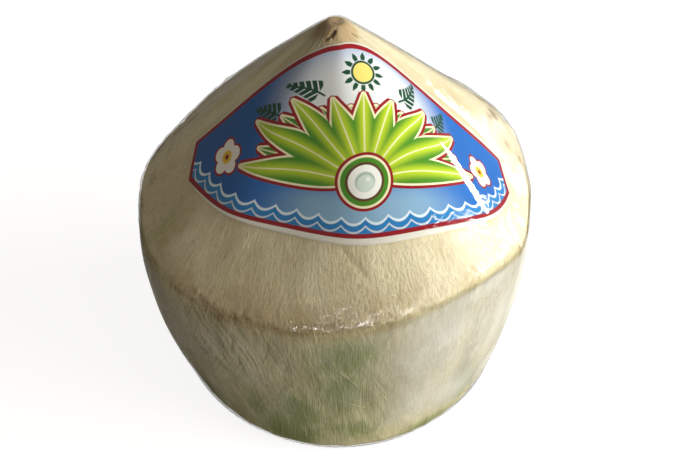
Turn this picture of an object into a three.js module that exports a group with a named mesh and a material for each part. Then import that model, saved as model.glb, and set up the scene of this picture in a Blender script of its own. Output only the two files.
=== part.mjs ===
// A young green coconut trimmed for sale: the husk is cut to a cone over a round wall with a flat foot,
// a printed label lies on the cone, and clear film is drawn over both and shrunk in under the base.
// Millimetres, +Z up. The origin is the middle of the foot, and the label faces -Y.

import * as THREE from "three";

// Driving sizes of the trimmed husk.
const shoulderRadius = 69.5; // the widest ring, where the cone meets the wall
const shoulderHeight = 83;
const coneHeight = 66.6; // from the shoulder to where the cone's sides would meet
const tipRound = 3.2; // how far down each side the tip's round is pulled
const tipCut = 1.1; // how far below the sides' meeting point its top is, in times tipRound
const tipFlatness = 0.45;
const coneBulge = 0.5;
const shoulderRound = 2.6;
const baseRadius = 61; // where the wall would meet the base
const wallBulge = 1.5;
const wallFullest = 0.38; // how far down the wall its bulge is pulled out, as a share of it
const baseRound = 7.3;
const footRadius = 31; // the flat spot that the coconut stands on
const baseRise = 2.8; // how far the base lifts clear between the foot and its rounded edge
const baseLean = new THREE.Vector2(1, -1); // how far the base stands off the tip's axis

// Thin layers over the husk, each clear of the one below.
const layerGap = 0.3;
const labelThickness = 0.3;
const filmThickness = 0.4;
const filmOpeningRadius = 44; // the film's shrunk edge, under the base

// The label lies flat, before it is bent, with x across it and y down from the cone's point.
const labelHalfWidth = 63.8;
const labelFootHalfWidth = 62;
const labelTop = 9.4;
const labelSideSlope = 0.487;
const labelTopRound = 7.4;
const labelSideLow = 47.5; // where each short side ends and the bottom curve starts
const labelBottom = 71.5;
const labelShift = 6.3;
const labelTurn = THREE.MathUtils.degToRad(1.3);
// How far down each edge slipped where the cone is uneven, for each power of the share across.
const labelTopSlips = [4.5, -2.3, -7.6];
const labelBottomSlips = [7.3];

// How the knife left the husk out of round: the facets of its tip, and a shoulder that wanders.
const facetCount = 7;
const facetEdge = THREE.MathUtils.degToRad(-85); // one edge between facets
const facetSharpness = 12;
const facetSize = 0.97; // across the flats, in place of a circle of 1
const facetsAtTip = 0.8;
const facetsAtShoulder = 0.16;
// Each wave: how many times it goes round, its height, and the angle of one crest.
const shoulderWaves = [
  [1, 0.7, 49],
  [2, 2.2, -64],
  [3, 2, 52],
  [4, 2.5, 24],
  [5, 1.35, 30],
];
const shoulderSwells = [
  [2, 0.45, 76],
  [3, 0.35, -17],
  [4, 0.95, 25],
];
const wallSwells = [[2, 2.9, 10]]; // a little oval at mid height

const turns = 72; // divisions round the axis
const labelColumns = 44;
const labelRows = 8;
const labelCrowding = 1.6; // over 1 puts more columns in its middle, by the cone's tip

const point = (x, y) => new THREE.Vector2(x, y);
const along = (from, to, share) => from.clone().lerp(to, share);

// A line from one point to another, pulled out by a bulge to its left, at a share of its length.
function bowed(from, to, bulge, share = 0.5) {
  const side = point(from.y - to.y, to.x - from.x).normalize();
  const pulled = along(from, to, share).addScaledVector(side, 2 * bulge);
  return new THREE.QuadraticBezierCurve(from, pulled, to);
}

const rounded = (from, corner, to) => new THREE.QuadraticBezierCurve(from, corner, to);

// The husk's outline beside its axis, from the tip down to the foot, as named stretches.
const apex = point(0, shoulderHeight + coneHeight);
const shoulder = point(shoulderRadius, shoulderHeight);
const wallFoot = point(baseRadius, baseRise);
const coneLength = apex.distanceTo(shoulder);
const wallLength = shoulder.distanceTo(wallFoot);

const coneStart = along(apex, shoulder, (2 * tipRound) / coneLength);
const coneEnd = along(shoulder, apex, shoulderRound / coneLength);
const wallStart = along(shoulder, wallFoot, shoulderRound / wallLength);
const wallEnd = along(wallFoot, shoulder, baseRound / wallLength);
const underside = point(baseRadius - baseRound, baseRise);
const footEdge = point(footRadius, 0);

const tipTop = apex.y - tipCut * tipRound;

const tip = new THREE.CubicBezierCurve(
  point(0, tipTop),
  point(tipFlatness * coneStart.x, tipTop),
  along(apex, shoulder, tipRound / coneLength),
  coneStart,
);
const cone = bowed(coneStart, coneEnd, coneBulge);
const wall = bowed(wallStart, wallEnd, wallBulge, wallFullest);
const crownMiddle = (underside.x + footRadius) / 2;
const crown = new THREE.CubicBezierCurve(
  underside,
  point(crownMiddle, baseRise),
  point(crownMiddle, 0),
  footEdge,
);
// Each stretch with the number of steps that it is drawn in.
const outline = [
  [tip, 4],
  [cone, 10],
  [rounded(coneEnd, shoulder, wallStart), 3],
  [wall, 7],
  [rounded(wallEnd, wallFoot, underside), 4],
  [crown, 5],
];

// The outline lifted off the husk by a distance, down to a least radius under the base.
function liftedOutline(distance, leastRadius = 0) {
  const points = [];
  outline.forEach(([curve, steps], stretch) => {
    for (let i = stretch ? 1 : 0; i <= steps; i++) {
      const place = curve.getPoint(i / steps);
      if (stretch === outline.length - 1 && place.x < leastRadius) break;
      const heading = curve.getTangent(i / steps);
      points.push(point(place.x - heading.y * distance, place.y + heading.x * distance));
    }
  });
  points[0].x = 0;
  return points;
}

// Turns an outline, given from the top down, about the upright axis.
function turned(points) {
  return new THREE.LatheGeometry([...points].reverse(), turns).rotateX(Math.PI / 2);
}

const fade = (from, to, value) => THREE.MathUtils.smoothstep((value - from) / (to - from), 0, 1);
const hump = (share) => 4 * share * (1 - share); // 0 at both ends and 1 in the middle
const wave = (list, angle) =>
  list.reduce(
    (sum, [times, height, crest]) =>
      sum + height * Math.cos(times * (angle - THREE.MathUtils.degToRad(crest))),
    0,
  );

// How far out flat facets stand round the axis, as a share of a circle of about the same size.
function facetShare(angle) {
  const step = (2 * Math.PI) / facetCount;
  let sum = 0;
  for (let i = 0; i < facetCount; i++) {
    const facing = Math.cos(angle - facetEdge - (i + 0.5) * step);
    sum += Math.max(facing, 0) ** facetSharpness;
  }
  return facetSize * sum ** (-1 / facetSharpness);
}

// Moves a place in or on the round shape to where the knife left it. All the layers move alike.
function carved(place) {
  const angle = Math.atan2(place.y, place.x);
  const nearShoulder =
    place.z > shoulderHeight
      ? fade(apex.y, shoulderHeight, place.z)
      : fade(baseRise + baseRound, shoulderHeight, place.z);
  const facets =
    place.z > shoulderHeight
      ? facetsAtShoulder + (facetsAtTip - facetsAtShoulder) * fade(shoulderHeight, apex.y, place.z)
      : facetsAtShoulder * nearShoulder;
  const upWall = THREE.MathUtils.clamp((place.z - baseRise) / (shoulderHeight - baseRise), 0, 1);
  const swell = nearShoulder * wave(shoulderSwells, angle) + hump(upWall) * wave(wallSwells, angle);
  const outward = 1 + facets * (facetShare(angle) - 1) + swell / shoulderRadius;
  const lean = fade(shoulderHeight, 0, place.z);
  return new THREE.Vector3(
    place.x * outward + baseLean.x * lean,
    place.y * outward + baseLean.y * lean,
    place.z + nearShoulder * wave(shoulderWaves, angle),
  );
}

// Moves every vertex of a geometry by a rule.
function moved(geometry, rule) {
  const places = geometry.attributes.position;
  for (let i = 0; i < places.count; i++) {
    const to = rule(new THREE.Vector3().fromBufferAttribute(places, i));
    places.setXYZ(i, to.x, to.y, to.z);
  }
  geometry.computeVertexNormals();
  return geometry;
}

// The label's edge: its rounded top with straight sides, and its curved bottom.
const labelSag = labelBottom - labelSideLow;
const labelBottomRadius = (labelFootHalfWidth ** 2 + labelSag ** 2) / (2 * labelSag);
const labelTopAt = (x) =>
  labelTop + Math.hypot(labelSideSlope * x, labelTopRound) - labelTopRound;
const labelBottomAt = (x) =>
  labelBottom - labelBottomRadius + Math.sqrt(labelBottomRadius ** 2 - x ** 2);
const slipped = (slips, share) =>
  (1 - share ** 2) * slips.reduce((sum, slip, i) => sum + slip * share ** (i + 1), 0);

// A unit box's place turned into a place in the bent label: x across, y up and z through it.
function onLabel(place) {
  const across = Math.sign(place.x) * Math.abs(2 * place.x) ** labelCrowding;
  const down = 0.5 - place.y;
  const x = across * THREE.MathUtils.lerp(labelHalfWidth, labelFootHalfWidth, down);
  const y = THREE.MathUtils.lerp(
    labelTopAt(across * labelHalfWidth) + slipped(labelTopSlips, across),
    labelBottomAt(across * labelFootHalfWidth) + slipped(labelBottomSlips, across),
    down,
  );
  const flat = point(x, y).rotateAround(point(0, labelBottom), labelTurn);
  flat.x += labelShift;

  const slant = flat.length();
  const coneShare = (slant - coneStart.distanceTo(apex)) / coneStart.distanceTo(coneEnd);
  const spot = cone.getPoint(coneShare);
  const heading = cone.getTangent(coneShare);
  const lift = layerGap + labelThickness * (place.z + 0.5);
  const radius = spot.x - heading.y * lift;
  const angle = Math.atan2(flat.x, flat.y) / (shoulder.x / coneLength) - Math.PI / 2;
  return new THREE.Vector3(
    radius * Math.cos(angle),
    radius * Math.sin(angle),
    spot.y + heading.x * lift,
  );
}

function coconutGeometry() {
  const points = liftedOutline(0);
  points.push(point(0, 0));
  return moved(turned(points), carved);
}

function filmGeometry() {
  const inner = liftedOutline(2 * layerGap + labelThickness, filmOpeningRadius);
  const outer = liftedOutline(2 * layerGap + labelThickness + filmThickness, filmOpeningRadius);
  return moved(turned([...outer, ...inner.reverse()]), carved);
}

function labelGeometry() {
  const sheet = new THREE.BoxGeometry(1, 1, 1, labelColumns, labelRows, 1);
  return moved(moved(sheet, onLabel), carved);
}

const whiteHusk = new THREE.MeshStandardMaterial({ color: 0xd9ccaa, roughness: 0.8 });
const printedLabel = new THREE.MeshStandardMaterial({ color: 0x3a78c0, roughness: 0.35 });
const clearFilm = new THREE.MeshStandardMaterial({
  color: 0xf4f6f7,
  roughness: 0.12,
  transparent: true,
  opacity: 0.25,
});

function piece(name, geometry, material) {
  const mesh = new THREE.Mesh(geometry, material);
  mesh.name = name;
  return mesh;
}

const wrappedCoconut = new THREE.Group();
wrappedCoconut.add(
  piece("coconut", coconutGeometry(), whiteHusk),
  piece("label", labelGeometry(), printedLabel),
  piece("film", filmGeometry(), clearFilm),
);

export default wrappedCoconut;
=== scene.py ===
import bpy
import numpy as np
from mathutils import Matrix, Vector


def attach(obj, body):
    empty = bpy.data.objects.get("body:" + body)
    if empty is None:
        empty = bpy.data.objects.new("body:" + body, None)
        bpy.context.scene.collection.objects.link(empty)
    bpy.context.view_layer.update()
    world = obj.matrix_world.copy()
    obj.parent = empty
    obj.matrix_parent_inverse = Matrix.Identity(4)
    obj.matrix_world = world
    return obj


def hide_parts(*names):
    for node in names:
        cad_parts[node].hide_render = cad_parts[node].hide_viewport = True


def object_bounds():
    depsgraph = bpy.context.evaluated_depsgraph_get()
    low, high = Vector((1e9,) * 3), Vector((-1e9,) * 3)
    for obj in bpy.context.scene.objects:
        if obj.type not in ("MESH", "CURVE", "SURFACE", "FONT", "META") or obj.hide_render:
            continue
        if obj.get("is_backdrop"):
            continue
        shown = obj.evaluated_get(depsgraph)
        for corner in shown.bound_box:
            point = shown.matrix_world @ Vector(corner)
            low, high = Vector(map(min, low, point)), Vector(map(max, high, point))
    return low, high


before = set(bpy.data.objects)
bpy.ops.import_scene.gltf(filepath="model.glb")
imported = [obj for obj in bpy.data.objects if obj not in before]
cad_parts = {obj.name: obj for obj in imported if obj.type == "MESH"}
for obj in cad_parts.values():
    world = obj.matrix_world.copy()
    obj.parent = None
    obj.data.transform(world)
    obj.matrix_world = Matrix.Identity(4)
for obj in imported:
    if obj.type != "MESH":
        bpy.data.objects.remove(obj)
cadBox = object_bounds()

# A young green coconut trimmed to a cone over a round wall, with a printed label and clear film.
# Numbers that give a shape are millimetres and degrees, and mm turns them into Blender's metres.
mm = 0.001
tau = 2 * np.pi
white = (1.0, 1.0, 1.0)


shot = {
    "place": (-0.00941, -0.24287, 0.30024),
    "aim": (0.0009, 0.0, 0.05836),
    "lens": 48.91,
    "sensor": 36.0,
}

studio = {
    "lightsAim": (0.0, 0.0, 0.08),
    "lightsAway": 1.6,
    # each light: its side, seen from the coconut, its size, power, color and use
    "lights": {
        "windowLight": ((0.926, -0.16, 0.342), (1.5, 1.2), 46.0, (0.965, 0.985, 0.99), "shading"),
        "cornerLight": ((0.64, -0.76, 0.1), (0.9, 0.7), 7.0, (1.0, 0.99, 0.97), "shading"),
        "windowGlint": ((0.865, 0.499, 0.052), (0.16, 0.13), 5.0, white, "gloss"),
        "lowGlint": ((0.981, 0.138, 0.139), (0.3, 0.24), 13.0, white, "gloss"),
        "edgeGlint": ((0.136, -0.969, 0.208), (1.5, 0.1), 21.0, white, "gloss"),
    },
    "roomColor": (1.0, 0.93, 0.8),
    "roomStrength": 0.25,
    "mirroredStrength": 0.15,
    "floorSpan": 6.0,
    "floorColor": (0.32, 0.31, 0.3),
    "floorGlow": 0.86,
    "mirroredFloor": (0.19, 0.185, 0.175),
}


def linked(data, place=(0, 0, 0), aim=None):
    # An object in the scene, which looks from its place to its aim where it has one.
    thing = bpy.data.objects.new(data.name, data)
    thing.location = place
    if aim is not None:
        thing.rotation_euler = (Vector(aim) - thing.location).to_track_quat("-Z", "Y").to_euler()
    bpy.context.collection.objects.link(thing)
    return thing


def makeCamera():
    data = bpy.data.cameras.new("camera")
    data.lens = shot["lens"]
    data.sensor_width = shot["sensor"]
    data.clip_start = 0.01
    bpy.context.scene.camera = linked(data, shot["place"], shot["aim"])


def makeLights():
    aim = Vector(studio["lightsAim"])
    for name, (side, size, power, color, use) in studio["lights"].items():
        data = bpy.data.lights.new(name, "AREA")
        data.shape = "RECTANGLE"
        data.size, data.size_y = size
        data.energy = power
        data.color = color
        light = linked(data, aim + Vector(side).normalized() * studio["lightsAway"], aim)
        light.visible_glossy = use == "gloss"
        light.visible_diffuse = use == "shading"


def mathNode(operation, reflected=False):
    # A method that adds one Math node, which takes the signal first or last.
    def method(self, *others):
        values = (*others, self) if reflected else (self, *others)
        return self.finish.node("ShaderNodeMath", {"operation": operation}, dict(enumerate(values)))
    return method


class Signal:
    # One node output. Python's operators on it add Math nodes.
    def __init__(self, finish, socket):
        self.finish, self.socket = finish, socket

    __add__, __radd__ = mathNode("ADD"), mathNode("ADD", True)
    __sub__, __rsub__ = mathNode("SUBTRACT"), mathNode("SUBTRACT", True)
    __mul__, __rmul__ = mathNode("MULTIPLY"), mathNode("MULTIPLY", True)
    __truediv__, __rtruediv__ = mathNode("DIVIDE"), mathNode("DIVIDE", True)
    __pow__, __rpow__ = mathNode("POWER"), mathNode("POWER", True)
    __abs__, rounded = mathNode("ABSOLUTE"), mathNode("ROUND")
    least, most = mathNode("MINIMUM"), mathNode("MAXIMUM")
    sine, cosine, turnFrom = mathNode("SINE"), mathNode("COSINE"), mathNode("ARCTAN2")
    bounced = mathNode("PINGPONG")

    def zigzag(self, half):
        return self.bounced(half) / half  # from 0 to 1 and back

    def out(self, name):
        return Signal(self.finish, self.socket.node.outputs[name])


class Finish:
    # The nodes of one material, or of the room.
    def __init__(self, owner):
        owner.use_nodes = True
        self.owner, self.tree = owner, owner.node_tree
        self.tree.nodes.clear()

    # A node of a type, with its settings set first and then the values or links of its sockets.
    def node(self, kind, settings, sockets, output=0):
        made = self.tree.nodes.new(kind)
        for name, value in settings.items():
            setattr(made, name, value)
        for name, value in sockets.items():
            socket = made.inputs[name]
            if isinstance(value, Signal):
                self.tree.links.new(value.socket, socket)
            else:
                socket.default_value = (*value, 1.0) if socket.type == "RGBA" else value
        return Signal(self, made.outputs[output]) if made.outputs else made

    def objectPlace(self):
        return self.node("ShaderNodeTexCoord", {}, {}, "Object")

    # Soft masks that are stored at the points.
    def masks(self, *names):
        return [self.node("ShaderNodeAttribute", {"attribute_name": name}, {}, "Fac") for name in names]

    # Noise with features about so many millimetres across.
    def noise(self, place, size, detail=2.0, roughness=0.5):
        return self.node("ShaderNodeTexNoise", {}, {
            "Vector": place, "Scale": 1 / (size * mm), "Detail": detail, "Roughness": roughness,
        })

    # Noise drawn out along the streaks, whose runs are made shorter by a share.
    def streaked(self, streaks, share, *noise):
        place = self.node("ShaderNodeAttribute", {"attribute_name": streaks}, {}, "Vector")
        place = self.node("ShaderNodeVectorMath", {"operation": "MULTIPLY"}, {0: place, 1: (1, 1, share)})
        return self.noise(place, *noise)

    # A smooth rise from 0 to 1 between two values, or a fall where the first is the larger.
    def rise(self, value, start, end):
        return self.node("ShaderNodeMapRange", {"interpolation_type": "SMOOTHSTEP"}, {
            "Value": value, "From Min": start, "From Max": end,
        })

    # Thin lines where a noise passes its middle value.
    def threads(self, noise, halfWidth, core=0.006):
        return self.rise(abs(noise - 0.5), halfWidth, core)

    # A colour with others laid over it in turn, each by its share.
    def laid(self, color, *layers):
        for share, over in layers:
            color = self.node("ShaderNodeMix", {"data_type": "RGBA"}, {0: share, 6: color, 7: over}, 2)
        return color

    def bump(self, height, depth, strength):
        return self.node("ShaderNodeBump", {}, {
            "Height": height, "Distance": depth * mm, "Strength": strength,
        })

    def principled(self, sockets):
        return self.node("ShaderNodeBsdfPrincipled", {}, sockets)

    def blended(self, share, under, over):
        return self.node("ShaderNodeMixShader", {}, {0: share, 1: under, 2: over})

    # What the camera sees, what is mirrored in gloss, and what lights everything else.
    def byUse(self, seen, mirrored, lighting):
        isSeen = self.node("ShaderNodeLightPath", {}, {}, "Is Camera Ray")
        unseen = self.blended(isSeen.out("Is Glossy Ray"), lighting, mirrored)
        return self.blended(isSeen, unseen, seen)

    def shown(self, shader, output="ShaderNodeOutputMaterial"):
        self.node(output, {}, {"Surface": shader})
        return self.owner


def srgb(red, green, blue):
    # A colour given as 0 to 255 on screen, as Blender's linear values.
    share = np.array((red, green, blue)) / 255
    linear = np.where(share <= 0.04045, share / 12.92, ((share + 0.055) / 1.055) ** 2.4)
    return tuple(float(v) for v in linear)


def makeRoom():
    world = bpy.data.worlds.new("room")
    bpy.context.scene.world = world
    room = Finish(world)
    seen, mirrored, fill = (
        room.node("ShaderNodeBackground", {}, {"Color": color, "Strength": strength})
        for color, strength in (
            (white, 1.0),
            (studio["roomColor"], studio["mirroredStrength"]),
            (studio["roomColor"], studio["roomStrength"]),
        )
    )
    room.shown(room.byUse(seen, mirrored, fill), "ShaderNodeOutputWorld")


def makeFloor():
    half = studio["floorSpan"] / 2
    mesh = bpy.data.meshes.new("floor")
    corners = [(-half, -half, 0), (half, -half, 0), (half, half, 0), (-half, half, 0)]
    mesh.from_pydata(corners, [], [(0, 1, 2, 3)])
    floor = linked(mesh)
    paint = Finish(bpy.data.materials.new("paleFloor"))
    matt = paint.node("ShaderNodeBsdfDiffuse", {}, {"Color": studio["floorColor"]})
    glow = paint.node("ShaderNodeEmission", {}, {"Color": white, "Strength": studio["floorGlow"]})
    mirrored = paint.node("ShaderNodeBsdfDiffuse", {}, {"Color": studio["mirroredFloor"]})
    lit = paint.node("ShaderNodeAddShader", {}, {0: matt, 1: glow})
    mesh.materials.append(paint.shown(paint.byUse(lit, mirrored, matt)))
    floor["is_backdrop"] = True


makeCamera()
makeLights()
makeRoom()
makeFloor()
bpy.context.scene.view_settings.view_transform = "Standard"
print("camera, light and floor are in place")


def spotValues(x, y, z, seed):
    # A fixed random number for each whole-numbered place: its three numbers and the seed are
    # multiplied by large odd numbers, added, and stirred by shifts, and the result is read as 0 to 1.
    mixed = x * 73856093 + y * 19349663 + z * 83492791 + seed * 2654435761
    mixed = (mixed ^ (mixed >> 13)) & 0xFFFFFFFF
    mixed = (mixed * 1274126177) & 0xFFFFFFFF
    mixed = (mixed ^ (mixed >> 16)) & 0xFFFFFFFF
    return mixed / 0xFFFFFFFF


def softNoise(places, size, seed):
    # Between the eight whole-numbered places round each point, their numbers are blended with
    # the smooth share t*t*(3-2t) along each axis. The result runs from -1 to 1.
    scaled = places / size + 511.5  # so that no whole number is below 0
    low = np.floor(scaled).astype(np.int64)
    share = scaled - low
    share = share * share * (3 - 2 * share)
    total = 0.0
    for dz, dy, dx in np.ndindex(2, 2, 2):
        corner = np.array((dx, dy, dz))
        weight = np.where(corner, share, 1 - share).prod(-1)
        total = total + weight * spotValues(*np.moveaxis(low + corner, -1, 0), seed)
    return 2 * total - 1


def layeredNoise(places, size, seed):
    # Noise and a second layer half as large and half as strong, with the sum scaled to 1.
    return (softNoise(places, size, seed) + softNoise(places, size / 2, seed + 1) / 2) / 1.5


def fade(start, end, value):
    # A smooth share from 0 at the start to 1 at the end, t*t*(3-2t) in between.
    share = np.clip((value - start) / (end - start), 0, 1)
    return share * share * (3 - 2 * share)


def hill(value, middle, halfWidth):
    # A bell: e to the power of minus the square of how many half widths off the middle it is.
    return np.exp(-(((value - middle) / halfWidth) ** 2))


def awayRound(angle, side):
    # Radians round from a side in degrees, the short way, below 0 on one hand.
    return np.mod(angle - np.radians(side) + np.pi, tau) - np.pi


trim = {
    "shoulderRadius": 69.5, "shoulderHeight": 83.0, "coneHeight": 66.6,
    "tipRound": 3.2, "tipCut": 1.1, "tipFlatness": 0.45, "coneBulge": 0.5,
    "shoulderRound": 2.6, "baseRadius": 61.0, "wallBulge": 1.5, "wallFullest": 0.38,
    "baseRound": 7.3, "footRadius": 31.0, "baseRise": 2.8, "baseLean": (1.0, -1.0),
    "facetCount": 7, "facetEdge": -85.0, "facetSharpness": 12, "facetSize": 0.97,
    "facetsAtTip": 0.8, "facetsAtShoulder": 0.16, "facetRise": 0.5,
    # each wave: how many times it goes round, its height, and the angle of one crest
    "shoulderWaves": [(1, 0.7, 49), (2, 2.2, -64), (3, 2.0, 52), (4, 2.5, 24), (5, 1.35, 30)],
    "shoulderSwells": [(2, 0.45, 76), (3, 0.35, -17), (4, 0.95, 25)],
    "wallSwells": [(2, 2.9, 10)],
}

curveSteps = 60


def curvePoints(corners, shares):
    # A Bezier curve: neighbouring corners are blended by the share, again and again, down to one.
    layers = [np.array(corner, float) + 0 * shares[:, None] for corner in corners]
    while len(layers) > 1:
        layers = [a + (b - a) * shares[:, None] for a, b in zip(layers, layers[1:])]
    return layers[0]


def makeOutline():
    # The outline beside the axis from the tip to the foot's middle, as (radius, height) points,
    # how far along it each one is, which way it heads there, and where each named stretch starts.
    t = trim
    apex = np.array((0.0, t["shoulderHeight"] + t["coneHeight"]))
    shoulder = np.array((t["shoulderRadius"], t["shoulderHeight"]))
    wallFoot = np.array((t["baseRadius"], t["baseRise"]))

    def toward(start, end, distance):
        return start + (end - start) * distance / np.linalg.norm(end - start)

    coneStart = toward(apex, shoulder, 2 * t["tipRound"])
    coneEnd = toward(shoulder, apex, t["shoulderRound"])
    wallStart = toward(shoulder, wallFoot, t["shoulderRound"])
    wallEnd = toward(wallFoot, shoulder, t["baseRound"])
    underside = np.array((t["baseRadius"] - t["baseRound"], t["baseRise"]))
    tipTop = apex[1] - t["tipCut"] * t["tipRound"]
    crownMiddle = (underside[0] + t["footRadius"]) / 2

    def pulled(start, end, bulge, share=0.5):
        side = np.array((start[1] - end[1], end[0] - start[0]))
        return start + (end - start) * share + side / np.linalg.norm(side) * 2 * bulge

    stretches = [
        ("tip", [(0, tipTop), (t["tipFlatness"] * coneStart[0], tipTop),
                 toward(apex, shoulder, t["tipRound"]), coneStart]),
        ("cone", [coneStart, pulled(coneStart, coneEnd, t["coneBulge"]), coneEnd]),
        ("shoulder", [coneEnd, shoulder, wallStart]),
        ("wall", [wallStart, pulled(wallStart, wallEnd, t["wallBulge"], t["wallFullest"]), wallEnd]),
        ("base", [wallEnd, wallFoot, underside]),
        ("crown", [underside, (crownMiddle, t["baseRise"]), (crownMiddle, 0), (t["footRadius"], 0)]),
        ("foot", [(t["footRadius"], 0), (0, 0)]),
    ]
    shares = np.linspace(0, 1, curveSteps + 1)
    points = [np.array([(0.0, tipTop)])] + [curvePoints(corners, shares)[1:] for _, corners in stretches]
    points = np.concatenate(points)
    runs = np.r_[0, np.cumsum(np.linalg.norm(np.diff(points, axis=0), axis=1))]
    starts = {name: runs[i * curveSteps] for i, (name, _) in enumerate(stretches)}
    starts["apexToCone"] = 2 * t["tipRound"]
    starts["coneRun"] = starts["shoulder"] - starts["cone"]
    starts["coneChord"] = np.linalg.norm(coneEnd - coneStart)
    starts["coneTurn"] = t["shoulderRadius"] / np.linalg.norm(shoulder - apex)
    headings = np.gradient(points, runs, axis=0)
    headings /= np.linalg.norm(headings, axis=1, keepdims=True)
    return points, runs, headings, starts


outline, outlineRuns, outlineHeadings, starts = makeOutline()
crease = (starts["shoulder"] + starts["wall"]) / 2  # how far down the outline the sharp edge runs


def girthAt(run):
    # The outline's radius so far down it.
    return np.interp(run, outlineRuns, outline[:, 0])


def waves(kinds, angle):
    # The sum of cosine waves round the axis.
    return sum(h * np.cos(times * (angle - np.radians(crest))) for times, h, crest in kinds)


def facetShare(angle):
    # How far out flat facets stand, as a share of a circle: a power mean of the facets' cosines.
    t = trim
    middles = np.radians(t["facetEdge"]) + (np.arange(t["facetCount"]) + 0.5) * tau / t["facetCount"]
    facing = np.maximum(np.cos(angle[..., None] - middles), 0) ** t["facetSharpness"]
    return t["facetSize"] * facing.sum(-1) ** (-1 / t["facetSharpness"])


def placed(angle, run, lift):
    # A point so far round, so far down the outline from the tip, and so far off it. It is put
    # beside the axis, turned round it, and then moved by the facets, waves, swells and lean.
    t = trim
    angle, run, lift = np.broadcast_arrays(angle, run, lift)
    headX = np.interp(run, outlineRuns, outlineHeadings[:, 0])
    headY = np.interp(run, outlineRuns, outlineHeadings[:, 1])
    radius = girthAt(run) - headY * lift
    z = np.interp(run, outlineRuns, outline[:, 1]) + headX * lift
    shoulderHeight, coneHeight, least = t["shoulderHeight"], t["coneHeight"], t["facetsAtShoulder"]
    above = z > shoulderHeight
    nearShoulder = np.where(
        above,
        fade(shoulderHeight + coneHeight, shoulderHeight, z),
        fade(t["baseRise"] + t["baseRound"], shoulderHeight, z),
    )
    upCone = fade(shoulderHeight, shoulderHeight + t["facetRise"] * coneHeight, z)
    facets = np.where(above, least + (t["facetsAtTip"] - least) * upCone, least * nearShoulder)
    upWall = np.clip((z - t["baseRise"]) / (shoulderHeight - t["baseRise"]), 0, 1)
    swell = nearShoulder * waves(t["shoulderSwells"], angle)
    swell = swell + 4 * upWall * (1 - upWall) * waves(t["wallSwells"], angle)
    outward = 1 + facets * (facetShare(angle) - 1) + swell / t["shoulderRadius"]
    lean = fade(shoulderHeight, 0, z)
    return np.stack([
        radius * outward * np.cos(angle) + t["baseLean"][0] * lean,
        radius * outward * np.sin(angle) + t["baseLean"][1] * lean,
        z + nearShoulder * waves(t["shoulderWaves"], angle),
    ], -1)


def gridOf(columns, *stretches):
    # Angles across and runs down a grid. Each stretch is the run it ends at and its number of rows.
    runs, start = [], 0.0
    for end, count in stretches:
        runs.append(start + (end - start) * np.arange(1, count + 1) / count)
        start = end
    return (np.arange(columns) * tau / columns)[None, :], np.concatenate(runs)[:, None]


def gridFaces(rows, columns, offset=0, inward=False):
    # Four-cornered faces between neighbouring rows, closed round the last column.
    row, column = np.meshgrid(np.arange(rows - 1), np.arange(columns), indexing="ij")
    nextColumn = (column + 1) % columns
    corners = [row * columns + column, (row + 1) * columns + column,
               (row + 1) * columns + nextColumn, row * columns + nextColumn]
    if inward:
        corners.reverse()
    return np.stack(corners, -1).reshape(-1, 4) + offset


def fanFaces(ring, pole, inward=False):
    # Three-cornered faces from a ring of points to one point.
    corners = [np.full_like(ring, pole), ring, np.roll(ring, -1)]
    if inward:
        corners.reverse()
    return np.stack(corners, -1)


def makePiece(name, points, faceGroups, attributes=None, uv=None):
    # A mesh of points in millimetres and groups of faces, each group with its number of corners.
    mesh = bpy.data.meshes.new(name)
    faces = [face for group in faceGroups for face in group.tolist()]
    mesh.from_pydata(points * mm, [], faces, shade_flat=False)
    for key, values in (attributes or {}).items():
        kind, field = ("FLOAT", "value") if values.ndim == 1 else ("FLOAT_VECTOR", "vector")
        layer = mesh.attributes.new(key, kind, "POINT")
        layer.data.foreach_set(field, values.astype(np.float32).ravel())
    if uv is not None:
        corners = np.concatenate([group.ravel() for group in faceGroups])
        mesh.uv_layers.new(name="flat").data.foreach_set("uv", uv[corners].astype(np.float32).ravel())
    return linked(mesh)


def finished(piece, material, slot, *nodes):
    # Gives a piece its material and says what it belongs to.
    piece.data.materials.append(material)
    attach(piece, "root")
    if nodes:
        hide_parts(*nodes)
    mended = "mended" if piece.data.validate(verbose=False) else ""
    print(piece.name, "is made:", len(piece.data.vertices), "points", mended)


streaks = {
    "kinds": {"grain": (0.0, 0.0), "pull": (0.42, 3.0), "cross": (-0.3, 3.6)},  # slant and wander
    "slantSide": -130, "wanderSize": 15.0, "seed": 61,
}


def streakMasks(angle, run, order):
    # Places for streaks that run down the outline and join up all round: a ring of one radius,
    # with the run as its height. A slant that rises and falls round the ring turns them as
    # they go down from the crease, and noise moves them sideways by up to the wander.
    ring, masks = trim["shoulderRadius"], {}
    side = 0.5 * np.cos(2 * (angle - np.radians(streaks["slantSide"])))
    side = side + 0.5 + 0.3 * np.sin(5 * angle + 1.0)
    for number, (key, (slant, wander)) in enumerate(streaks["kinds"].items()):
        turn = angle - slant * side * (run - crease) / ring
        if wander:
            places = placed(angle, run, 0.0)
            noise = layeredNoise(places, streaks["wanderSize"], streaks["seed"] + number)
            turn = turn + wander * noise / ring
        places = np.stack([ring * mm * np.cos(turn), ring * mm * np.sin(turn), run * mm + 0 * turn], -1)
        masks[key] = places.reshape(-1, 3)[order]
    return masks


def aroundSpots(angle, run, spots):
    # The most of several soft spots, each given by its angle, run, half width, half length and
    # strength: the strength times a bell of the distance off its middle in half sizes.
    total = np.zeros(np.broadcast(angle, run).shape)
    for middle, down, halfWidth, halfLength, strength in spots:
        across = awayRound(angle, middle) * girthAt(run)
        off = (across / halfWidth) ** 2 + ((run - down) / halfLength) ** 2
        total = np.maximum(total, strength * np.exp(-off))
    return total


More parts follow.
